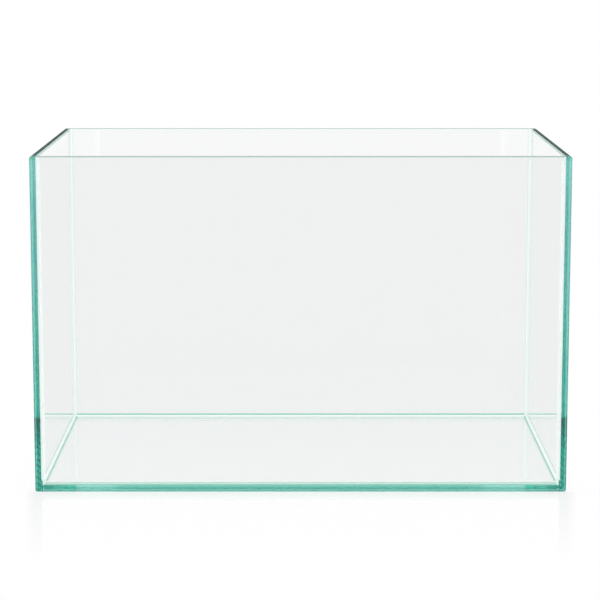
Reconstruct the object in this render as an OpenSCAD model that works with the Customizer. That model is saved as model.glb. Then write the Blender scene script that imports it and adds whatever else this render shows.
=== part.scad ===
// Rimless glass aquarium tank: five panes of float glass, bonded edge to face with clear silicone.
// Millimetres, +Z up. The origin is on the surface the tank stands on, at the middle of its footprint.
// +X runs along the tank, and -Y is the front, the side that is looked through.

/* [Tank] */
// Outside length of the tank
tank_w = 600; // [300:1:1200]
// Outside depth, front to back
tank_d = 380; // [200:1:600]
// Height of the glass, from the ground to the rim
tank_h = 380; // [200:1:600]

/* [Glass] */
// Thickness of the front and back panes
face_t = 8; // [5:0.5:15]
// Thickness of the two side panes
side_t = 8; // [5:0.5:15]
// Thickness of the base pane
base_t = 8; // [5:0.5:15]
// Width of the arris that is ground along every edge of a pane
arris = 1.5; // [0.5:0.1:2]

/* [Silicone] */
// Thickness of the silicone bond between the edge of one pane and the face of the next
bond_t = 0.8; // [0.4:0.1:1.5]
// Reach of an inner seal along each of the two panes it joins
seal_leg = 3.5; // [3:0.5:8]
// Angle at which the hollow face of an inner seal meets the glass
seal_toe = 16; // [8:1:35]

/* [Hidden] */
// Clear inside of the four walls
in_w = tank_w - 2 * side_t;
in_d = tank_d - 2 * face_t;
// The side panes and the base are cut short by the silicone at each end
side_d = in_d - 2 * bond_t;
base_w = in_w - 2 * bond_t;
base_d = in_d - 2 * bond_t;
// The tooled face of an inner seal: a hollow round, from one pane to the other, in flat strips.
// Its centre is as far from both panes, and the corner that the seal fills is at 0, 0.
hollow_c = seal_leg / (1 - tan(seal_toe));
hollow_r = norm([hollow_c - seal_leg, hollow_c]);
hollow_strips = 6;
hollow_turn = (90 - 2 * seal_toe) / hollow_strips;
function hollow_point(a) = [hollow_c - hollow_r * cos(a), hollow_c - hollow_r * sin(a)];
hollow_face = [for (i = [0:hollow_strips]) hollow_point(90 - seal_toe - i * hollow_turn)];
// Colours of the glass, seen through its thickness, and of the cured silicone
glass = "#a9dccf";
silicone = "#e4f3ee";

// ---- Glass ----

// A rectangle with its corners cut by the arris
module arrised_rect(w, h) {
    x = w / 2;
    y = h / 2;
    polygon([
        [x - arris, -y], [x, arris - y], [x, y - arris], [x - arris, y],
        [arris - x, y], [-x, y - arris], [-x, arris - y], [arris - x, -y]
    ]);
}

// A pane that stands on z = 0, arrised along all twelve edges: what three cut prisms have in common
module pane(w, d, h) {
    translate([0, 0, h / 2])
        intersection() {
            linear_extrude(h, center = true) arrised_rect(w, d);
            rotate([90, 0, 0]) linear_extrude(d, center = true) arrised_rect(w, h);
            rotate([90, 0, 90]) linear_extrude(w, center = true) arrised_rect(d, h);
        }
}

// The front and back panes run the full length and height. side is -1 for the front, 1 for the back
module face_pane(side) {
    color(glass)
        translate([0, side * (tank_d - face_t) / 2, 0]) pane(tank_w, face_t, tank_h);
}

// The side panes stand between the front and the back. side is -1 for the left, 1 for the right
module side_pane(side) {
    color(glass)
        translate([side * (tank_w - side_t) / 2, 0, 0]) pane(side_t, side_d, tank_h);
}

// ---- Silicone ----

// Both silicone profiles are drawn in the corner that they fill. x runs along the face of the pane
// that carries the joint, and x = 0 is the inner face of the pane whose edge is glued, t thick.
// y runs away from that carrying face.
module bond_profile(t) {
    translate([arris - t, 0]) square([t - 2 * arris, bond_t]);
}

// The inner seal keys into the arris of the glued edge, and its tooled face is hollow
module seal_profile() {
    polygon(concat([[-arris, bond_t], [-arris, 0]], hollow_face, [[0, bond_t + arris]]));
}

// The room under a seal's hollow face, carried on into both panes
module seal_room() {
    polygon(concat([[-arris, seal_leg], [-arris, -arris], [seal_leg, -arris]], hollow_face));
}

// Moves what is drawn at the front left inner corner to the corner on the given sides
module at_corner(side_x, side_y) {
    mirror([side_x > 0 ? 1 : 0, 0, 0])
        mirror([0, side_y > 0 ? 1 : 0, 0])
            translate([-in_w / 2, -in_d / 2, 0]) children();
}

// Lays a profile along the foot of the front wall, or of the back wall, over a given length
module along_face(side, length) {
    mirror([0, side > 0 ? 1 : 0, 0])
        translate([0, -in_d / 2, base_t])
            rotate([0, -90, 0]) linear_extrude(length, center = true) children();
}

// Lays a profile along the foot of the left wall, or of the right wall, over a given length
module along_side(side, length) {
    mirror([side > 0 ? 1 : 0, 0, 0])
        translate([-in_w / 2, 0, base_t])
            rotate([0, -90, -90]) linear_extrude(length, center = true) children();
}

// The upright bond in a corner, between the edge of a side pane and a face pane
module upright_bond(side_x, side_y) {
    color(silicone)
        at_corner(side_x, side_y)
            translate([0, 0, arris]) linear_extrude(tank_h - 2 * arris) bond_profile(side_t);
}

// The bond between a long edge of the base and a face pane
module base_face_bond(side) {
    color(silicone) along_face(side, base_w - 2 * arris) bond_profile(base_t);
}

// The bond between a short edge of the base and a side pane
module base_side_bond(side) {
    color(silicone) along_side(side, base_d - 2 * arris) bond_profile(base_t);
}

// The seal along the base at a face pane, mitred where it meets the seals along the side panes
module base_face_seal(side) {
    reach = 2 * seal_leg;
    color(silicone)
        intersection() {
            along_face(side, in_w) seal_profile();
            mirror([0, side > 0 ? 1 : 0, 0])
                linear_extrude(base_t + reach)
                    polygon([
                        [-in_w / 2, -in_d / 2], [in_w / 2, -in_d / 2],
                        [in_w / 2 - reach, reach - in_d / 2], [reach - in_w / 2, reach - in_d / 2]
                    ]);
        }
}

// The seal along the base at a side pane, mitred in the same way
module base_side_seal(side) {
    reach = 2 * seal_leg;
    color(silicone)
        intersection() {
            along_side(side, in_d) seal_profile();
            mirror([side > 0 ? 1 : 0, 0, 0])
                linear_extrude(base_t + reach)
                    polygon([
                        [-in_w / 2, -in_d / 2], [reach - in_w / 2, reach - in_d / 2],
                        [reach - in_w / 2, in_d / 2 - reach], [-in_w / 2, in_d / 2]
                    ]);
        }
}

// The seal up a corner. Its foot is cut to the hollow tops of the two seals along the base
module upright_seal(side_x, side_y) {
    color(silicone)
        difference() {
            at_corner(side_x, side_y)
                translate([0, 0, base_t])
                    linear_extrude(tank_h - arris - base_t) seal_profile();
            along_face(side_y, tank_w) seal_room();
            along_side(side_x, tank_d) seal_room();
        }
}

// ---- The pieces ----

module front_pane() face_pane(-1);
module back_pane() face_pane(1);
module left_pane() side_pane(-1);
module right_pane() side_pane(1);
// The base lies inside the four walls, flush with their feet
module base_pane() color(glass) pane(base_w, base_d, base_t);

module front_left_bond() upright_bond(-1, -1);
module front_right_bond() upright_bond(1, -1);
module back_left_bond() upright_bond(-1, 1);
module back_right_bond() upright_bond(1, 1);
module base_front_bond() base_face_bond(-1);
module base_back_bond() base_face_bond(1);
module base_left_bond() base_side_bond(-1);
module base_right_bond() base_side_bond(1);

module front_left_seal() upright_seal(-1, -1);
module front_right_seal() upright_seal(1, -1);
module back_left_seal() upright_seal(-1, 1);
module back_right_seal() upright_seal(1, 1);
module base_front_seal() base_face_seal(-1);
module base_back_seal() base_face_seal(1);
module base_left_seal() base_side_seal(-1);
module base_right_seal() base_side_seal(1);

front_pane();
back_pane();
left_pane();
right_pane();
base_pane();
front_left_bond();
front_right_bond();
back_left_bond();
back_right_bond();
base_front_bond();
base_back_bond();
base_left_bond();
base_right_bond();
front_left_seal();
front_right_seal();
back_left_seal();
back_right_seal();
base_front_seal();
base_back_seal();
base_left_seal();
base_right_seal();
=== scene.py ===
# %% [markdown]
# # A rimless glass aquarium
#
# The tank is five panes of clear float glass. The front and the back run the full length, the two
# sides stand between them, and the base lies inside all four. Nothing but silicone holds them: a
# thin film in every joint, and a tooled bead along every inner corner that keeps the water in.
# The solids of those pieces come in as the frame, and each one is dressed here with a modelled
# piece that has the small shapes a maker leaves: ground arrises, softened corners and hand-drawn
# beads.

# %% The frame, and the sizes that it gives
import math

import bmesh
import bpy
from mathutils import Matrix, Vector


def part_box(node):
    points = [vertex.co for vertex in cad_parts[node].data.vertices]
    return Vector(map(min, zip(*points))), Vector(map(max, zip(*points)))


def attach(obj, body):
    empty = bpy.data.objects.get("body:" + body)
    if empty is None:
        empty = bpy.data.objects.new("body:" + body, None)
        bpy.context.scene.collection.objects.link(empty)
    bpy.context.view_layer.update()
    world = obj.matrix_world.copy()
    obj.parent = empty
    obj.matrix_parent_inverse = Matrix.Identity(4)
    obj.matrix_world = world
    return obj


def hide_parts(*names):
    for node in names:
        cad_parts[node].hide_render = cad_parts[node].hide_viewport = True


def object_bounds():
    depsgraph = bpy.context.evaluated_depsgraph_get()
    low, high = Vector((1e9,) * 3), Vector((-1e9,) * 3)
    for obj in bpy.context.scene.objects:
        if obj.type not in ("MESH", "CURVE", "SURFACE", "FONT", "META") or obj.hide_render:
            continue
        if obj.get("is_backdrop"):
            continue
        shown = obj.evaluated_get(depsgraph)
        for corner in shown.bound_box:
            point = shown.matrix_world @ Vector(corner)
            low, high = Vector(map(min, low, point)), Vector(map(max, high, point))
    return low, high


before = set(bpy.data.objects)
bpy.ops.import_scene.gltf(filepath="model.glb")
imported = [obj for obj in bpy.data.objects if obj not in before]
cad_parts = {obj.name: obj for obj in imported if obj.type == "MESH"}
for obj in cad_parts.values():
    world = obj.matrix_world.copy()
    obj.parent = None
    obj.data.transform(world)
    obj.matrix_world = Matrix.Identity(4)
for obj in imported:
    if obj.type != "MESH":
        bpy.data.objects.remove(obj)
cad_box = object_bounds()
bpy.ops.object.select_all(action="DESELECT")

MM = 0.001
tank_low, tank_high = cad_box
tank_size = tank_high - tank_low


def node_size(name):
    """Length, depth and height of a solid of the frame"""
    low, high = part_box(name)
    return high - low


side_t = node_size("left_pane").x
bond_t = node_size("front_left_bond").y
seal_leg = node_size("front_left_seal").y
arris = (side_t - node_size("front_left_bond").x) / 2
print("tank", [round(side / MM) for side in tank_size], "mm, glass", round(side_t / MM, 1), "mm")
print("arris", round(arris / MM, 2), "mm, film in a joint", round(bond_t / MM, 2), "mm")
print("a bead covers", round(seal_leg / MM, 2), "mm of each pane")

# %% [markdown]
# ## Colours and nodes
#
# Colours are written as the hex values that a paint card or a picture editor shows, which are
# sRGB, while the renderer counts light in linear numbers. One function turns one into the other.
# Another adds a shader node with its settings, and links or sets its sockets in the same call.

# %% Three small helpers
def srgb(code):
    """A hex colour, such as #a9dccf, as linear red, green, blue and alpha"""
    parts = [int(code[i:i + 2], 16) / 255 for i in (1, 3, 5)]
    return [p / 12.92 if p <= 0.04045 else ((p + 0.055) / 1.055) ** 2.4 for p in parts] + [1.0]


def add_node(tree, kind, settings=(), sockets=(), **inputs):
    """Adds a node. settings are its own fields, and inputs its sockets that hold a plain value.
    sockets takes any of them, by name or number, set to a value or fed by another's socket"""
    node = tree.nodes.new(kind)
    for field, value in dict(settings).items():
        setattr(node, field, value)
    for socket, value in inputs.items():
        node.inputs[socket.replace("_", " ")].default_value = value
    for socket, source in dict(sockets).items():
        if isinstance(source, bpy.types.NodeSocket):
            tree.links.new(source, node.inputs[socket])
        else:
            node.inputs[socket].default_value = source
    return node


def new_material(name):
    """An empty material with only its output node, and the output node"""
    material = bpy.data.materials.new(name)
    material.use_nodes = True
    material.node_tree.nodes.clear()
    return material, add_node(material.node_tree, "ShaderNodeOutputMaterial")


print("the green of sawn glass is", [round(part, 3) for part in srgb("#a9dccf")], "in linear light")

# %% [markdown]
# ## The camera
#
# The tank is seen square on, from well back and a little above the rim, so that the rim opens into
# a narrow band and the base shows as a tray. A long lens from far away keeps the four uprights
# almost parallel. Distances are counted in tank heights, because they only make sense against it.

# %% A long lens, in front and slightly above
CAMERA_BACK = 6.39      # tank heights, from the lens to the front pane
CAMERA_UP = 1.61        # tank heights, from the ground to the lens
CAMERA_ASIDE = -0.0008  # metres, a hair left of the middle
CAMERA_TILT = 9.17      # degrees below level
CAMERA_LENS = 132.4     # mm
SENSOR_WIDTH = 36       # mm

camera_data = bpy.data.cameras.new("camera")
camera_data.sensor_width = SENSOR_WIDTH
camera_data.lens = CAMERA_LENS
camera = bpy.data.objects.new("camera", camera_data)
bpy.context.scene.collection.objects.link(camera)
camera.location = (CAMERA_ASIDE, tank_low.y - CAMERA_BACK * tank_size.z, CAMERA_UP * tank_size.z)
camera.rotation_euler = (math.radians(90 - CAMERA_TILT), 0, 0)
bpy.context.scene.camera = camera
print("camera at", [round(place, 3) for place in camera.location])

# %% [markdown]
# ## The light
#
# Glass has hardly any look of its own: it shows what is round it. A studio sets it on a white
# sweep under soft light from all sides, and keeps the room above it dim, so that the ground
# edges, which mirror that room, draw dark lines round the clear panes. The world does the same
# here. What is seen straight on or through the glass is white. What is mirrored is a dim room
# under a softbox, so it goes from dark at the horizon to nearly white overhead.
#
# Light Path tells how a ray got where it is. A ray that went through glass counts as both glossy
# and transmitted, so a mirrored ray is one that is glossy and not transmitted.

# %% A white sweep, and a dim room with a softbox overhead for the mirrored rays
ROOM_AT_HORIZON = 0.12
ROOM_OVERHEAD = 0.85

world = bpy.data.worlds.new("studio")
bpy.context.scene.world = world
world.use_nodes = True
tree = world.node_tree
tree.nodes.clear()
rays = add_node(tree, "ShaderNodeLightPath")
not_through = add_node(tree, "ShaderNodeMath", {"operation": "SUBTRACT"},
                       {0: 1.0, 1: rays.outputs["Is Transmission Ray"]})
mirrored = add_node(tree, "ShaderNodeMath", {"operation": "MULTIPLY"},
                    {0: rays.outputs["Is Glossy Ray"], 1: not_through.outputs["Value"]})
direction = add_node(tree, "ShaderNodeTexCoord")
split = add_node(tree, "ShaderNodeSeparateXYZ", sockets={"Vector": direction.outputs["Generated"]})
room_light = add_node(tree, "ShaderNodeMapRange", {"interpolation_type": "SMOOTHSTEP"},
                      {"Value": split.outputs["Z"]}, To_Min=ROOM_AT_HORIZON, To_Max=ROOM_OVERHEAD)
strength = add_node(tree, "ShaderNodeMix", {"data_type": "FLOAT"},
                    {"Factor": mirrored.outputs["Value"], "A": 1.0, "B": room_light.outputs["Result"]})
light = add_node(tree, "ShaderNodeBackground", sockets={"Strength": strength.outputs["Result"]},
                 Color=srgb("#ffffff"))
add_node(tree, "ShaderNodeOutputWorld", sockets={"Surface": light.outputs["Background"]})
print("world", world.name, "with", len(tree.nodes), "nodes")

# %% [markdown]
# Light that runs down the inside of a pane bounces between its two faces a dozen times before it
# comes out of an edge, and that long way through the glass is what makes the edges green. The
# renderer has to follow all of those bounces, or the edges turn black.

# %% Enough bounces for light to run the length of a pane
BOUNCES = 48

scene = bpy.context.scene
scene.view_settings.view_transform = "Standard"
scene.cycles.max_bounces = BOUNCES
scene.cycles.transmission_bounces = BOUNCES
scene.cycles.glossy_bounces = BOUNCES
scene.cycles.diffuse_bounces = 4
scene.cycles.blur_glossy = 0.0      # blurred, the light that comes through glass is lost in it
print("bounces", BOUNCES, "and clamping at", scene.cycles.sample_clamp_indirect)

# %% [markdown]
# ## The floor
#
# The tank stands on a white acrylic sheet, on a film of air as thin as a hair. A pane's foot
# mirrors the light inside it only because of that air, so the sheet lies a hair below the glass.

# %% A white sheet under the tank
FLOOR_GAP = 0.3 * MM
FLOOR_SIZE = 40.0       # metres

bpy.ops.mesh.primitive_plane_add(size=FLOOR_SIZE, location=(0, 0, -FLOOR_GAP))
floor = bpy.context.object
floor.name = "floor"
bpy.ops.object.transform_apply(location=True)
floor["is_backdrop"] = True
print("floor", FLOOR_SIZE, "m wide,", round(FLOOR_GAP / MM, 1), "mm below the glass")

# %% [markdown]
# Right beside the glass the sheet is partly a real surface, which takes the tank's soft shadow.
# Further out it is the same white as the world, so that no horizon shows behind the glass. Before
# the tank it is also faintly glossy and mirrors the tank's edges. It would mirror the dim room as
# well, round the tank's mirror image, so the glossy part ends where that image does: it gets
# fainter and narrower with the distance from the front pane.
#
# Each of those shares is two fades multiplied, one along x and one along y.

# %% How much of the sheet is real, and how much of it mirrors
REAL_REACH = 0.05       # metres from the tank where the sheet is all plain white
NEAR_GLOW = 0.86        # share of the sheet's white that is plain, right beside the tank
SHEET_MIRROR = 0.13     # share that is mirrored, right before the tank
MIRROR_FRONT = 0.28     # metres before the tank where nothing is mirrored any more
MIRROR_SIDE = 0.012     # metres over which the mirror fades out sideways
MIRROR_NARROWS = 0.12   # how much narrower the mirror gets for each metre before the tank

acrylic, output = new_material("white_acrylic")
tree = acrylic.node_tree
spot = add_node(tree, "ShaderNodeTexCoord")
split = add_node(tree, "ShaderNodeSeparateXYZ", sockets={"Vector": spot.outputs["Object"]})
beside = add_node(tree, "ShaderNodeMath", {"operation": "ABSOLUTE"}, {0: split.outputs["X"]})
deep = add_node(tree, "ShaderNodeMath", {"operation": "ABSOLUTE"}, {0: split.outputs["Y"]})
before = add_node(tree, "ShaderNodeMath", {"operation": "MULTIPLY"}, {0: split.outputs["Y"], 1: -1.0})
narrowing = add_node(tree, "ShaderNodeMath", {"operation": "MULTIPLY_ADD"},
                     {0: before.outputs["Value"], 1: MIRROR_NARROWS, 2: beside.outputs["Value"]})
half_x = tank_size.x / 2
half_y = tank_size.y / 2
fades = []
for distance, edge, reach, most, shape in (
        (beside, half_x, REAL_REACH, 1.0, "SMOOTHSTEP"),
        (deep, half_y, REAL_REACH, 1 - NEAR_GLOW, "SMOOTHSTEP"),
        (narrowing, half_x + MIRROR_NARROWS * half_y, MIRROR_SIDE, 1.0, "LINEAR"),
        (before, half_y, MIRROR_FRONT, SHEET_MIRROR, "LINEAR")):
    fade = add_node(tree, "ShaderNodeMapRange", {"interpolation_type": shape},
                    {"Value": distance.outputs["Value"]},
                    From_Min=edge, From_Max=edge + reach, To_Min=most, To_Max=0.0)
    fades.append(fade.outputs["Result"])
real_share = add_node(tree, "ShaderNodeMath", {"operation": "MULTIPLY"}, {0: fades[0], 1: fades[1]})
mirror_fade = add_node(tree, "ShaderNodeMath", {"operation": "MULTIPLY"}, {0: fades[2], 1: fades[3]})
before_tank = add_node(tree, "ShaderNodeMath", {"operation": "LESS_THAN"},
                       {0: split.outputs["Y"], 1: tank_low.y})
mirror_share = add_node(tree, "ShaderNodeMath", {"operation": "MULTIPLY"},
                        {0: mirror_fade.outputs["Value"], 1: before_tank.outputs["Value"]})
print("the sheet mirrors up to", round(half_y + MIRROR_FRONT, 2), "m from the middle of the tank")

# %% [markdown]
# Even close by, most of the sheet glows as white as the sweep, but only to rays that look at it:
# the glow lights nothing. To the eye it is a white so even that only the tank's shadow and the
# mirrored edges tell that there is a sheet.

# %% The sheet's own white, and its faint gloss
SHEET_ROUGHNESS = 0.06

rays = add_node(tree, "ShaderNodeLightPath")
straight = add_node(tree, "ShaderNodeMath", {"operation": "MAXIMUM"},
                    {0: rays.outputs["Is Camera Ray"], 1: rays.outputs["Is Glossy Ray"]})
looking = add_node(tree, "ShaderNodeMath", {"operation": "MAXIMUM"},
                   {0: straight.outputs["Value"], 1: rays.outputs["Is Transmission Ray"]})
plain_share = add_node(tree, "ShaderNodeMath", {"operation": "SUBTRACT"},
                       {0: 1.0, 1: real_share.outputs["Value"]})
glowing = add_node(tree, "ShaderNodeMath", {"operation": "MULTIPLY"},
                   {0: looking.outputs["Value"], 1: plain_share.outputs["Value"]})
matt = add_node(tree, "ShaderNodeBsdfDiffuse", Color=srgb("#fdfdfd"))
glow = add_node(tree, "ShaderNodeEmission", Color=srgb("#ffffff"), Strength=1.0)
sheet = add_node(tree, "ShaderNodeMixShader", sockets={
    0: glowing.outputs["Value"], 1: matt.outputs["BSDF"], 2: glow.outputs["Emission"]})
gloss = add_node(tree, "ShaderNodeBsdfGlossy", Color=srgb("#ffffff"), Roughness=SHEET_ROUGHNESS)
glossy_sheet = add_node(tree, "ShaderNodeMixShader", sockets={
    0: mirror_share.outputs["Value"], 1: sheet.outputs["Shader"], 2: gloss.outputs["BSDF"]})
print("white sheet, roughness of its gloss", SHEET_ROUGHNESS)

# %% [markdown]
# The nearest pane mirrors the floor before it, and a studio keeps that part dark, or a white veil
# would lie on the glass. So the floor is dark to a ray that was mirrored once or twice and met no
# glass on its way, which comes from the outside of a pane. In front of the tank it is also dark to
# one that went through no more than one pane, which comes from the inside of that same pane. All
# other rays find it white.

# %% The floor is dark to what the nearest pane mirrors
DARK_FLOOR = 0.03
ALL_DARK = -0.7         # metres along the depth, before the tank
NONE_DARK = 0.1         # metres along the depth, behind the middle of the tank

crossings = rays.outputs["Transmission Depth"]
once_or_twice = add_node(tree, "ShaderNodeMath", {"operation": "COMPARE"},
                         {0: rays.outputs["Glossy Depth"], 1: 1.5, 2: 1.0})
outside = add_node(tree, "ShaderNodeMath", {"operation": "LESS_THAN"}, {0: crossings, 1: 0.5})
one_pane = add_node(tree, "ShaderNodeMath", {"operation": "LESS_THAN"}, {0: crossings, 1: 2.5})
far_in_front = add_node(tree, "ShaderNodeMapRange", {"interpolation_type": "SMOOTHSTEP"},
                        {"Value": split.outputs["Y"]},
                        From_Min=ALL_DARK, From_Max=NONE_DARK, To_Min=1.0, To_Max=0.0)
inside = add_node(tree, "ShaderNodeMath", {"operation": "MULTIPLY"},
                  {0: one_pane.outputs["Value"], 1: far_in_front.outputs["Result"]})
either = add_node(tree, "ShaderNodeMath", {"operation": "MAXIMUM"},
                  {0: outside.outputs["Value"], 1: inside.outputs["Value"]})
veil = add_node(tree, "ShaderNodeMath", {"operation": "MULTIPLY"},
                {0: once_or_twice.outputs["Value"], 1: either.outputs["Value"]})
dark = add_node(tree, "ShaderNodeEmission", Color=srgb("#ffffff"), Strength=DARK_FLOOR)
whole = add_node(tree, "ShaderNodeMixShader", sockets={
    0: veil.outputs["Value"], 1: glossy_sheet.outputs["Shader"], 2: dark.outputs["Emission"]})
tree.links.new(whole.outputs["Shader"], output.inputs["Surface"])
floor.data.materials.append(acrylic)
print(acrylic.name, "with", len(tree.nodes), "nodes")

# %% [markdown]
# ## Cutting a pane
#
# A pane is cut from a sheet, and then every edge is ground: first flat, then with a small slope,
# the arris, on each side, so that it can't cut a hand. A cuboid of the pane's size is bevelled
# once for the arris. Its new edges are bevelled once more, much finer, because even a fresh arris
# isn't knife sharp, and that fine round is what glints.

# %% A cuboid between two corners, and a way to pick what is edited
def block(name, low, high):
    """A cuboid whose object sits at the origin, with its place in its mesh"""
    bpy.ops.object.select_all(action="DESELECT")
    bpy.ops.mesh.primitive_cube_add(size=1, location=(low + high) / 2, scale=high - low)
    piece = bpy.context.object
    piece.name = piece.data.name = name
    bpy.ops.object.transform_apply(location=True, rotation=True, scale=True)
    return piece


def edit(piece, mode, test=None):
    """Opens a piece for editing with only what passes the test selected, or all of it"""
    bpy.context.view_layer.objects.active = piece
    bpy.ops.object.mode_set(mode="EDIT")
    bpy.ops.mesh.select_mode(type=mode)
    bpy.ops.mesh.select_all(action="DESELECT" if test else "SELECT")
    if test:
        mesh = bmesh.from_edit_mesh(piece.data)
        mesh.normal_update()
        for part in {"VERT": mesh.verts, "EDGE": mesh.edges, "FACE": mesh.faces}[mode]:
            if test(part):
                part.select_set(True)
        bmesh.update_edit_mesh(piece.data)


def close(piece):
    """Leaves editing, with every normal pointing out of the solid"""
    bpy.ops.mesh.select_all(action="SELECT")
    bpy.ops.mesh.normals_make_consistent(inside=False)
    bpy.ops.object.mode_set(mode="OBJECT")


# %% Marks that tell the finish of each face, and the hand-over of a finished piece
def mark(piece, names, look):
    """Writes named marks on every face, with the values that its look gives for its normal"""
    for name in names:
        piece.data.attributes.new(name, "FLOAT", "FACE")
    for face in piece.data.polygons:
        for name, value in zip(names, look(face.normal)):
            piece.data.attributes[name].data[face.index].value = float(value)


def settle(piece, node):
    """Finishes a piece: it moves with the tank, and stands for a solid of the frame"""
    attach(piece, "root")
    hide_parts(node)


# %% [markdown]
# One pane has several finishes, so each of its faces carries marks, and the material reads them.
# ground is 0 on the two faces, 0.5 on the flat of an edge and 1 on an arris. upright and foot are
# the front edges of the side walls and of the base, with the arris that one sees beside them. rim
# is the flat on top of a wall, and a little of it lies on the arris outside a long wall. wall is
# the face of a standing pane. frost is the arris on top of a side wall, on the inside, where the
# wheel ran coarser.

# %% The five panes
PANE_MARKS = ("ground", "upright", "foot", "rim", "wall", "frost")
ARRIS_ROUND = 0.15 * MM     # how far the arris's own edges are softened
# The rim's tint is the glass's green darkened with painted shade, and the arris takes a trace of it.
RIM_TRACE = 0.3         # how much of the rim's green the arris outside a long wall has
SQUARE = 0.98           # a normal with a part larger than this points along an axis
SLANTED = 0.5           # and with one larger than this, at least halfway that way
OUTWARDS = 0.05         # any small share: a side wall, whose middle is at y 0, gives none


def cut_pane(name):
    """The glass of one CAD pane: a cuboid with ground arrises whose own edges are just softened"""
    low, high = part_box(name)
    pane = block(name + "_glass", low, high)
    edit(pane, "EDGE")
    bpy.ops.mesh.bevel(offset=arris, segments=1, affect="EDGES")
    bpy.ops.mesh.select_all(action="SELECT")
    bpy.ops.mesh.bevel(offset=ARRIS_ROUND, segments=2, affect="EDGES")
    close(pane)
    thin = min(range(3), key=lambda axis: (high - low)[axis])
    side_wall = thin == 0
    base = thin == 2

    def look(normal):
        """The marks of a face that points this way"""
        along_axis = max(abs(part) for part in normal) > SQUARE
        ground = 1.0 if not along_axis else 0.0 if abs(normal[thin]) > SQUARE else 0.5
        inwards = normal.x * (low + high).x < 0
        outwards = normal.y * (low + high).y > OUTWARDS
        front_arris = normal.y < -SLANTED and (normal.z > -SLANTED if base else inwards)
        in_front = normal.y < -SQUARE or front_arris
        rim = 1.0 if normal.z > SQUARE else RIM_TRACE if normal.z > SLANTED and outwards else 0.0
        frost = side_wall and ground == 1 and normal.z > SLANTED and inwards
        return (ground, in_front and side_wall, in_front and base, 0.0 if base else rim,
                ground == 0 and not base, frost)

    mark(pane, PANE_MARKS, look)
    settle(pane, name)
    return pane


PANES = ("front_pane", "back_pane", "left_pane", "right_pane", "base_pane")
panes = [cut_pane(name) for name in PANES]
print("panes", [(pane.name, len(pane.data.polygons)) for pane in panes])

# %% [markdown]
# ## Float glass
#
# Ordinary soda-lime glass has a trace of iron, which takes a little red light, and less blue and
# green, out of every millimetre. Through 8 mm that is almost nothing, and through the length of a
# pane it is deep green. So the inside of the glass is given how much it absorbs per metre, and the
# faces, which are as smooth as the molten tin they floated on, have next to no colour. The flat of
# an edge is polished and gets a little more green, because the glass there is often looked into at
# a slant, along a longer way than the renderer follows. The arris is only ground, and shows as a
# pale line.
#
# The front edges of the two sides stand upright in view, and one looks into them along the whole
# depth of the tank. Higher up they are sea green. Lower down the light has come a longer way
# through the pane, and the green deepens down to a dark band, a hand's breadth above the floor,
# which is a painted reflection, most likely of the pane's own underside. The part below it shows
# the slanting marks of the grinding wheel. The front edge of the base is greener at its two ends,
# where the light seems to come by way of its side edges, and that is painted light.
#
# The renderer doesn't find such long ways in time, so these greens are painted on, as two ramps of
# colour, and not worked out from the glass. Their stops were matched to a real tank: at the places
# where its colour turns, and between those at even steps, which mark nothing on it.

# %% The greens of the edges
EDGE_GREEN = "#e4fdf9"      # on the flats and the arrises of every edge
# The rim's colour is the green of the glass's whole height, darkened with painted shade.
RIM_GREEN_AND_SHADE = "#536a61"       # on top of the walls, where one looks down into their whole height
WHEEL_GREEN = "#3d7f70"     # where the grinding wheel left its marks
WALL_TINT = "#fefdfd"       # on the faces of the walls, next to nothing
# Both ramps are painted light: the upright one is the edge's green with a painted reflection as its
# dark band, the foot one is green with painted light that comes in by the side edges.
UPRIGHT_GREEN_AND_REFLECTION = {           # by height in metres
    0.000: "#00b59a", 0.048: "#00bfa2", 0.058: "#00a48e", 0.067: "#006053", 0.076: "#004a3f",
    0.083: "#00352d", 0.087: "#3cbbab", 0.101: "#64cbb6", 0.147: "#62beb2", 0.193: "#8acec4",
    0.238: "#9ecece", 0.284: "#9ecdcd", 0.329: "#b8d2da", 0.374: "#e0f4f4", 0.377: "#7fc9b2"}
FOOT_GREEN_AND_LIGHT = {              # by distance from the middle in metres
    0.000: "#7dcebc", 0.200: "#7dcebc", 0.215: "#d4f8ea", 0.253: "#dcfcee", 0.255: "#10a67f",
    0.258: "#10a67f", 0.260: "#19e1b6", 0.263: "#19e1b6", 0.265: "#3ec6af", 0.278: "#3ec6af",
    0.280: "#16967c", 0.291: "#03846d"}
RAMP_LENGTH = 0.4           # metres that each of the two ramps covers

glass, output = new_material("float_glass")
tree = glass.node_tree
spot = add_node(tree, "ShaderNodeTexCoord")
split = add_node(tree, "ShaderNodeSeparateXYZ", sockets={"Vector": spot.outputs["Object"]})
sideways = add_node(tree, "ShaderNodeMath", {"operation": "ABSOLUTE"}, {0: split.outputs["X"]})
ramps = []
for along, stops in ((split.outputs["Z"], UPRIGHT_GREEN_AND_REFLECTION), (sideways.outputs["Value"], FOOT_GREEN_AND_LIGHT)):
    share = add_node(tree, "ShaderNodeMapRange", sockets={"Value": along}, From_Max=RAMP_LENGTH)
    ramp = add_node(tree, "ShaderNodeValToRGB", sockets={"Fac": share.outputs["Result"]})
    while len(ramp.color_ramp.elements) < len(stops):
        ramp.color_ramp.elements.new(0.5)
    for stop, (distance, colour) in zip(ramp.color_ramp.elements, stops.items()):
        stop.position = distance / RAMP_LENGTH
        stop.color = srgb(colour)
    ramps.append(ramp.outputs["Color"])
upright_green_and_reflection, foot_green_and_light = ramps
print("stops of the two ramps", len(UPRIGHT_GREEN_AND_REFLECTION), "and", len(FOOT_GREEN_AND_LIGHT))

# %% [markdown]
# A cup wheel leaves slanting marks at even distances. A Wave texture draws them: at scale 1 its
# diagonal bands repeat with every 2 pi / 10 of x + y + z, and a step along the slant of a flat
# face adds its length times the root of 2 to that sum.

# %% The wheel's marks, low on the upright edges
WHEEL_MARK = 5.0 * MM       # from one mark to the next
WHEEL_TOP = 0.066           # metres, where the marks end
WHEEL_WANDER = 0.5          # how far the marks stray from straight lines

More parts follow.
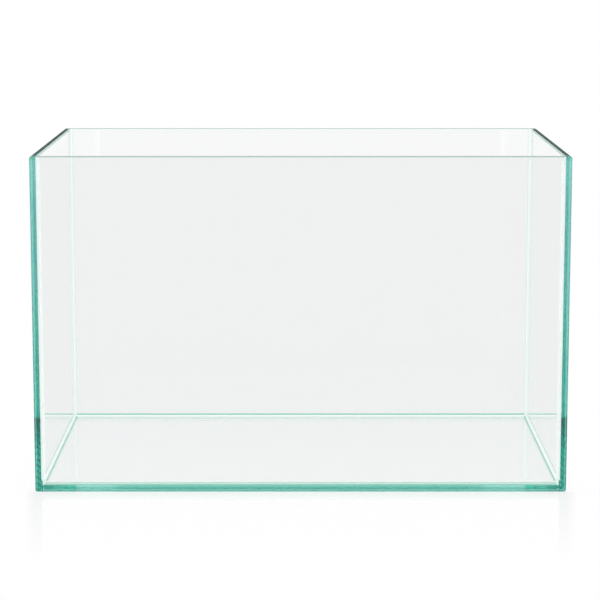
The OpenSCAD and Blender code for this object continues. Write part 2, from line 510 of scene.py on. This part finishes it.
wheel = add_node(tree, "ShaderNodeTexWave", {"bands_direction": "DIAGONAL"},
                 {"Vector": spot.outputs["Object"]},
                 Scale=math.tau / (10 * math.sqrt(2) * WHEEL_MARK),
                 Distortion=WHEEL_WANDER, Detail=0.0, Detail_Scale=0.3)
low_down = add_node(tree, "ShaderNodeMath", {"operation": "LESS_THAN"},
                    {0: split.outputs["Z"], 1: WHEEL_TOP})
marked = add_node(tree, "ShaderNodeMath", {"operation": "MULTIPLY"},
                  {0: wheel.outputs["Fac"], 1: low_down.outputs["Value"]})
# The wheel's marks are multiplied into the upright ramp, which carries the painted reflection.
upright_reflection_and_wheel = add_node(tree, "ShaderNodeMix", {"data_type": "RGBA", "blend_type": "MULTIPLY"},
                       {0: marked.outputs["Value"], 6: upright_green_and_reflection, 7: srgb(WHEEL_GREEN)})
print("wheel marks every", round(WHEEL_MARK / MM), "mm, up to", round(WHEEL_TOP / MM), "mm")

# %% [markdown]
# Each mark of a face multiplies one more tint into the colour, starting from clear glass. Where
# the arris is ground, a noise as fine as the grit roughens it, drawn somewhat coarser than the
# belt's real grit so that it shows. The frosted arris lets no light through and scatters it.
#
# To the eye the material is clear and nearly colourless over the faces, with sea-green edges,
# pale ground lines beside them and a rim that painted shade makes dark.

# %% The colour and the surface of the glass
GLASS_IOR = 1.52
ABSORBED = (2.25, 0.60, 0.75)   # share of red, green and blue light lost per metre
DENSEST = 4.0
GRIT = 0.7 * MM
GRIT_DEPTH = 0.4 * MM
GRIT_STRENGTH = 0.3
GROUND_ROUGHNESS = 0.25

ground = add_node(tree, "ShaderNodeAttribute", {"attribute_name": "ground"})
rough = add_node(tree, "ShaderNodeMapRange", sockets={"Value": ground.outputs["Fac"]},
                 From_Min=0.5, From_Max=1.0, To_Min=0.0, To_Max=GROUND_ROUGHNESS)
edge = add_node(tree, "ShaderNodeMapRange", sockets={"Value": ground.outputs["Fac"]}, From_Max=0.5)
colour = add_node(tree, "ShaderNodeMix", {"data_type": "RGBA"},
                  {0: edge.outputs["Result"], 6: srgb("#ffffff"), 7: srgb(EDGE_GREEN)})
for name, tint in (("upright", upright_reflection_and_wheel.outputs[2]), ("foot", foot_green_and_light),
                   ("rim", srgb(RIM_GREEN_AND_SHADE)), ("wall", srgb(WALL_TINT))):
    here = add_node(tree, "ShaderNodeAttribute", {"attribute_name": name})
    colour = add_node(tree, "ShaderNodeMix", {"data_type": "RGBA", "blend_type": "MULTIPLY"},
                      {0: here.outputs["Fac"], 6: colour.outputs[2], 7: tint})
grit = add_node(tree, "ShaderNodeTexNoise", sockets={"Vector": spot.outputs["Object"]},
                Scale=1 / GRIT, Detail=2.0)
scratched = add_node(tree, "ShaderNodeMath", {"operation": "MULTIPLY"},
                     {0: grit.outputs["Fac"], 1: rough.outputs["Result"]})
worn = add_node(tree, "ShaderNodeBump", sockets={"Height": scratched.outputs["Value"]},
                Strength=GRIT_STRENGTH, Distance=GRIT_DEPTH)
frost = add_node(tree, "ShaderNodeAttribute", {"attribute_name": "frost"})
clear = add_node(tree, "ShaderNodeMapRange", sockets={"Value": frost.outputs["Fac"]},
                 To_Min=1.0, To_Max=0.0)
surface = add_node(tree, "ShaderNodeBsdfPrincipled",
                   sockets={"Roughness": rough.outputs["Result"], "Base Color": colour.outputs[2],
                            "Normal": worn.outputs["Normal"],
                            "Transmission Weight": clear.outputs["Result"]},
                   IOR=GLASS_IOR)
inside = add_node(tree, "ShaderNodeVolumeAbsorption", Density=DENSEST,
                  Color=[1 - lost / DENSEST for lost in ABSORBED] + [1.0])
tree.links.new(surface.outputs["BSDF"], output.inputs["Surface"])
tree.links.new(inside.outputs["Volume"], output.inputs["Volume"])
for pane in panes:
    pane.data.materials.append(glass)
print(glass.name, "with", len(tree.nodes), "nodes on", len(panes), "panes")

# %% [markdown]
# ## The silicone
#
# A side pane's edge is glued to the face of the front pane by a film of silicone, less than a
# millimetre thick, and the base is glued to all four walls in the same way. A bead is then run
# along every inner corner and drawn hollow with a profiled tool, between two strips of tape that
# leave its toes as straight as a ruler. It could be an extruded profile, but a bead is never quite
# even, so it is modelled as a bar, hollowed by a bevel that curves inwards, cut into short lengths,
# and pushed about by a few hundredths of a millimetre.
#
# Clear silicone and glass touch all over. Two surfaces in exactly the same place confuse the
# renderer, which can't tell which of them a ray meets first, so each silicone piece is drawn a
# hair smaller than its room.

# %% The room that the silicone fills
SKIN = 0.03 * MM            # air left between silicone and glass, too thin to see
room_low = Vector((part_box("left_pane")[1].x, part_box("front_pane")[1].y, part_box("base_pane")[1].z))
room_high = Vector((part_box("right_pane")[0].x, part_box("back_pane")[0].y,
                    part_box("front_left_seal")[1].z))
room = room_high - room_low
print("inside of the walls", [round(side / MM, 2) for side in room], "mm")

# %% [markdown]
# A hand that draws a bead wanders a little over a few centimetres. A soft cloud texture moves the
# corners of the free faces in and out by that much, and leaves the glued faces where they are.

# %% What the hand does to a piece
STEP = 9 * MM               # the short lengths that a piece is cut into
WANDER_LENGTH = 35 * MM     # over what length the hand wanders
SOFT_TURN = 25              # degrees, a softer turn than this is shaded smooth

wander = bpy.data.textures.new("hand_wander", "CLOUDS")
wander.noise_scale = WANDER_LENGTH


def span_of(edge, axis):
    """How far an edge reaches along an axis"""
    return abs(edge.verts[0].co[axis] - edge.verts[1].co[axis])


def shorten(piece, axis):
    """Cuts a long piece into short lengths, by dividing the edges that run all the way along it"""
    length = piece.dimensions[axis]
    edit(piece, "EDGE", lambda edge: span_of(edge, axis) > length * 0.9)
    bpy.ops.mesh.subdivide(number_cuts=round(length / STEP))
    bpy.ops.object.mode_set(mode="OBJECT")


def let_wander(piece, amount, drawn, direction="NORMAL"):
    """Moves the corners that were drawn by hand a little, smoothly along the piece"""
    group = piece.vertex_groups.new(name="drawn_by_hand")
    group.add([corner.index for corner in piece.data.vertices if drawn(corner.co)], 1.0, "REPLACE")
    shift = piece.modifiers.new("wander", "DISPLACE")
    shift.texture = wander
    shift.texture_coords = "GLOBAL"
    shift.vertex_group = group.name
    shift.direction = direction
    shift.strength = amount
    bpy.ops.object.modifier_apply(modifier=shift.name)


def smooth(piece):
    """Shades soft turns smooth and keeps the sharp ones"""
    bpy.ops.object.select_all(action="DESELECT")
    piece.select_set(True)
    bpy.context.view_layer.objects.active = piece
    bpy.ops.object.shade_smooth_by_angle(angle=math.radians(SOFT_TURN))


print("short lengths of", round(STEP / MM), "mm, wandering over", round(WANDER_LENGTH / MM), "mm")

# %% [markdown]
# The film in a joint is squeezed out evenly by the weight of the pane, and only its edge, where it
# meets the air, is a little uneven. Its marks are free, where it isn't glued to glass, milk, for
# how cloudy it looks there and how much painted glow it gives, and green, for the light of the
# panes that it carries, painted on as colour. Looked at along its whole length, from its end, it
# shows the green of the glass beside it, and that is painted light too. So a look is those three
# marks in that order.

# %% The film in a joint
SILICONE_MARKS = ("free", "milk", "green")
GLUED = (0.0, 0.0, 0.0)
FILM_EDGE = (1.0, 0.3, 0.0)
FILM_END = (1.0, 0.8, 0.8)
FILM_WANDER = 0.3 * MM      # how uneven the free edge is
FILM_ROUND = 0.3            # how much of the film's thickness its long edges are rounded by
TURNED = 0.4                # a normal that leans this far to the free edge belongs to it


def lay_bond(node):
    """A film that fills its joint, with a soft and slightly uneven edge where it meets the air"""
    low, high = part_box(node)
    size = high - low
    middle = (low + high) / 2
    length = max(range(3), key=lambda axis: size[axis])
    thick = min(range(3), key=lambda axis: size[axis])
    width = 3 - length - thick
    gap = Vector((SKIN, SKIN, SKIN))
    film = block(node + "_film", low + gap, high - gap)
    edit(film, "EDGE", lambda edge: span_of(edge, length) > size[length] / 2)
    bpy.ops.mesh.bevel(offset=bond_t * FILM_ROUND, segments=3, affect="EDGES")
    close(film)
    shorten(film, length)
    outward = -1 if width == 2 or middle[width] < 0 else 1

    def at_air(co):
        """Whether a corner lies on the free edge"""
        return (co[width] - middle[width]) * outward > size[width] * 0.4

    def look(normal):
        """The marks of a face that points this way"""
        if abs(normal[width]) > TURNED:
            return FILM_EDGE
        return FILM_END if abs(normal[length]) > SQUARE else GLUED

    let_wander(film, FILM_WANDER, at_air, "XYZ"[width])
    mark(film, SILICONE_MARKS, look)
    smooth(film)
    settle(film, node)
    return film


BONDS = ("front_left_bond", "front_right_bond", "back_left_bond", "back_right_bond",
         "base_front_bond", "base_back_bond", "base_left_bond", "base_right_bond")
bonds = [lay_bond(node) for node in BONDS]
print("bonds", [(film.name, len(film.data.polygons)) for film in bonds])

# %% [markdown]
# A bead is drawn once in its own corner: it runs along z, and lies against two panes that run out
# along x and y. Where the pane at negative x was glued, its arris leaves a little groove, and the
# bead has a key that fills it. That key is the lower part of the bead's back, pulled out sideways,
# with its top edge slid down the slope.

# %% A bead in its own corner
TOE = 0.15 * MM             # thickness of a bead at the very edge of its hollow
TOE_ZONE = 3 * TOE          # how near to a pane the tape keeps a bead straight
HOLLOW = 0.13               # bevel profile: 0.25 is flat, and less curves inwards


def draw_bar(name, length, back, grow):
    """A square bar in the corner, with its inner edge hollowed"""
    bar = block(name, Vector((back, back, -length / 2)),
                Vector((seal_leg + grow, seal_leg + grow, length / 2)))
    half = seal_leg / 2
    edit(bar, "EDGE", lambda edge: all(min(end.co.x, end.co.y) > half for end in edge.verts))
    bpy.ops.mesh.bevel(offset=seal_leg - SKIN - TOE, segments=8, profile=HOLLOW, affect="EDGES")
    close(bar)
    return bar


def draw_bead(name, length):
    """A bar with the key that fills the groove of the arris"""
    bead = draw_bar(name, length, SKIN, 0)
    key_top = bond_t + arris
    edit(bead, "FACE", lambda face: face.normal.x < -SQUARE)
    bpy.ops.mesh.bisect(plane_co=(0, key_top, 0), plane_no=(0, 1, 0))
    close(bead)
    edit(bead, "FACE",
         lambda face: face.normal.x < -SQUARE and face.calc_center_median().y < key_top)
    bpy.ops.mesh.extrude_region_move(TRANSFORM_OT_translate={"value": (-arris, 0, 0)})
    close(bead)
    edit(bead, "VERT", lambda corner: corner.co.x < -arris / 2 and corner.co.y > bond_t)
    bpy.ops.transform.translate(value=(0, -arris, 0))
    close(bead)
    shorten(bead, 2)
    return bead


def mitre(bead, length):
    """Cuts both ends of a bead at 45 degrees, as its two neighbours meet it in the corners"""
    for end in (-1, 1):
        edit(bead, "FACE")
        bpy.ops.mesh.bisect(plane_co=(0, 0, end * (length / 2 - SKIN)), plane_no=(0, 1, end),
                            use_fill=True, clear_outer=True)
        close(bead)


print("a bead of", round(seal_leg / MM, 1), "mm, hollowed to toes of", round(TOE / MM, 2), "mm")


# %% Moving what was drawn in its own corner to its place
def place(piece, location, turn, flip):
    """Turns, mirrors and moves a piece, and then writes all of that into its mesh"""
    bpy.ops.object.select_all(action="DESELECT")
    piece.select_set(True)
    bpy.context.view_layer.objects.active = piece
    piece.location = location
    piece.rotation_euler = [math.radians(angle) for angle in turn]
    piece.scale = flip
    bpy.ops.object.transform_apply(location=True, rotation=True, scale=True)
    edit(piece, "FACE")
    close(piece)


def at_face(piece, side):
    """Along the foot of the front wall, side -1, or of the back wall, side 1"""
    place(piece, (0, side * room.y / 2, room_low.z), (0, -90, 0), (1, -side, 1))


def at_side(piece, side):
    """Along the foot of the left wall, side -1, or of the right wall, side 1"""
    place(piece, (side * room.x / 2, 0, room_low.z), (0, -90, -90), (1, -side, 1))


def hollow_of(run):
    """Picks the corners of a bead's hollow face, but not its toes, which the tape kept straight"""
    def inside(co):
        gaps = [room.x / 2 - abs(co.x), room.y / 2 - abs(co.y), co.z - room_low.z]
        gaps.pop(run)
        return min(gaps) > TOE_ZONE
    return inside


# %% [markdown]
# A bead's glued faces point along the axes, and its hollow face turns from one pane to the other.
# How far it has turned is read from one part of its normal, its slope. The hollow face is milky,
# and where it bends light from the green of a pane into view, it has green bands of painted light.
# They lie elsewhere in each bead, because each one is looked at from another side.

# %% The four beads round the base, mitred
BEAD_WANDER = 0.08 * MM     # how far the hand wanders on a bead
BEAD_MILK = 0.8
GLUED_FACE = 0.985          # a normal with a part larger than this belongs to a glued face
# The green bands of the hollow faces, painted light: least slope, most slope, and depth of the green
FRONT_LIGHT_BAND = (0.62, 0.80, 0.60)
BACK_LIGHT_BAND = (0.10, 0.62, 0.80)
SIDE_LIGHT_BAND = (0.78, 1.00, 0.75)
BACK_UPRIGHT_LIGHT_BAND = (0.80, 1.00, 0.20)


def bead_look(axis, *bands):
    """How a bead's faces look, with its green bands of painted light laid by their slope along an axis
    """
    def look(normal):
        if max(abs(part) for part in normal) > GLUED_FACE:
            return GLUED
        slope = abs(normal[axis])
        return 1.0, BEAD_MILK, sum(depth for least, most, depth in bands if least < slope < most)
    return look


def run_base_bead(node, length, put, side, run, look):
    """A bead along the foot of a wall, mitred at both ends"""
    bead = draw_bead(node + "_bead", length)
    mitre(bead, length)
    put(bead, side)
    let_wander(bead, BEAD_WANDER, hollow_of(run))
    mark(bead, SILICONE_MARKS, look)
    smooth(bead)
    settle(bead, node)
    return bead


side_look = bead_look(2, SIDE_LIGHT_BAND)
base_beads = [
    run_base_bead("base_front_seal", room.x, at_face, -1, 0, bead_look(2, FRONT_LIGHT_BAND)),
    run_base_bead("base_back_seal", room.x, at_face, 1, 0, bead_look(2, BACK_LIGHT_BAND)),
    run_base_bead("base_left_seal", room.y, at_side, -1, 1, side_look),
    run_base_bead("base_right_seal", room.y, at_side, 1, 1, side_look),
]
print("base beads", [(bead.name, len(bead.data.polygons)) for bead in base_beads])

# %% [markdown]
# An upright bead is run after the ones round the base, so its foot lies on their hollow faces. Its
# foot is cut with two bars that fill the room of those beads and reach on into the glass.

# %% The four upright beads, each with its foot cut to the beads below it
INTO_GLASS = 2 * arris      # how far the cutting bars reach on into the glass


def run_upright_bead(node, side_x, side_y, look):
    """A bead up a corner of the walls, on the two beads that meet at its foot"""
    bead = draw_bead(node + "_bead", room.z)
    place(bead, (side_x * room.x / 2, side_y * room.y / 2, room_low.z + room.z / 2), (0, 0, 0),
          (-side_x, -side_y, 1))
    let_wander(bead, BEAD_WANDER, hollow_of(2))
    for length, put, side, run in ((room.x, at_face, side_y, 0), (room.y, at_side, side_x, 1)):
        below = draw_bar("room_below", length + 2 * INTO_GLASS, -INTO_GLASS, SKIN)
        shorten(below, 2)
        put(below, side)
        let_wander(below, BEAD_WANDER, hollow_of(run))
        bpy.context.view_layer.objects.active = bead
        cut = bead.modifiers.new("foot", "BOOLEAN")
        cut.operation = "DIFFERENCE"
        cut.object = below
        bpy.ops.object.modifier_apply(modifier=cut.name)
        bpy.data.objects.remove(below)
    mark(bead, SILICONE_MARKS, look)
    smooth(bead)
    settle(bead, node)
    return bead


upright_beads = []
for side_y, wall, look in ((-1, "front", bead_look(1)),
                           (1, "back", bead_look(1, BACK_UPRIGHT_LIGHT_BAND))):
    for side_x, end in ((-1, "left"), (1, "right")):
        upright_beads.append(run_upright_bead(f"{wall}_{end}_seal", side_x, side_y, look))
print("upright beads", [(bead.name, len(bead.data.polygons)) for bead in upright_beads])

# %% [markdown]
# Cured silicone is clear with a trace of milk in it, from the fine silica that thickens it. It is
# a little softer than glass to the light too: its index is lower, and its surface, drawn by a wet
# tool, isn't polished. Where it is glued it wets the glass, and no surface is left to see, so
# those faces are see-through. Light that runs along inside the panes leaks out there, which makes
# the beads a little brighter than what is round them. The film of air that keeps the modelled
# surfaces apart stops that, so the milk gives the leaked light itself, as a very faint glow.
#
# To the eye it is a soft white line in every corner, faintly green on one flank with painted light.

# %% Clear silicone, a trace milky
SILICONE_IOR = 1.41
LEAK = 0.12                 # brightness of the light that leaks into the milk
DRAWN_ROUGHNESS = 0.12
DRAG = 1 / 260              # metres, nearly 4 mm: the ripples that the tool drags up
DRAG_DEPTH = 0.4 * MM
DRAG_STRENGTH = 0.12

silicone, output = new_material("clear_silicone")
tree = silicone.node_tree
free, milk, green = [
    add_node(tree, "ShaderNodeAttribute", {"attribute_name": name}).outputs["Fac"]
    for name in SILICONE_MARKS]
rough = add_node(tree, "ShaderNodeMapRange", sockets={"Value": free}, To_Max=DRAWN_ROUGHNESS)
clarity = add_node(tree, "ShaderNodeMapRange", sockets={"Value": milk}, To_Min=1.0, To_Max=0.0)
spot = add_node(tree, "ShaderNodeTexCoord")
drag = add_node(tree, "ShaderNodeTexNoise", sockets={"Vector": spot.outputs["Object"]},
                Scale=1 / DRAG, Detail=3.0)
drawn = add_node(tree, "ShaderNodeMath", {"operation": "MULTIPLY"},
                 {0: drag.outputs["Fac"], 1: free})
skin = add_node(tree, "ShaderNodeBump", sockets={"Height": drawn.outputs["Value"]},
                Strength=DRAG_STRENGTH, Distance=DRAG_DEPTH)
# The green that the marks mix in is painted light, bent into view from the panes.
colour = add_node(tree, "ShaderNodeMix", {"data_type": "RGBA"},
                  {0: green, 6: srgb("#fdfffe"), 7: srgb("#4fd0b0")})
pale = add_node(tree, "ShaderNodeMath", {"operation": "SUBTRACT", "use_clamp": True},
                {0: milk, 1: green})
leak = add_node(tree, "ShaderNodeMix", {"data_type": "RGBA"},
                {0: pale.outputs["Value"], 6: srgb("#000000"), 7: srgb("#f0fffa")})
rubber = add_node(tree, "ShaderNodeBsdfPrincipled",
                  sockets={"Normal": skin.outputs["Normal"], "Roughness": rough.outputs["Result"],
                           "Transmission Weight": clarity.outputs["Result"],
                           "Base Color": colour.outputs[2], "Emission Color": leak.outputs[2]},
                  IOR=SILICONE_IOR, Emission_Strength=LEAK)
joined = add_node(tree, "ShaderNodeBsdfTransparent")
whole = add_node(tree, "ShaderNodeMixShader", sockets={
    0: free, 1: joined.outputs["BSDF"], 2: rubber.outputs["BSDF"]})
tree.links.new(whole.outputs["Shader"], output.inputs["Surface"])
for piece in bonds + base_beads + upright_beads:
    piece.data.materials.append(silicone)
print(silicone.name, "with", len(tree.nodes), "nodes")

# %% The box of the dressed tank against the box of its solids
dressed_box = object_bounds()
for name, box in (("solids", cad_box), ("dressed", dressed_box)):
    print(name, [[round(part, 5) for part in corner] for corner in box])
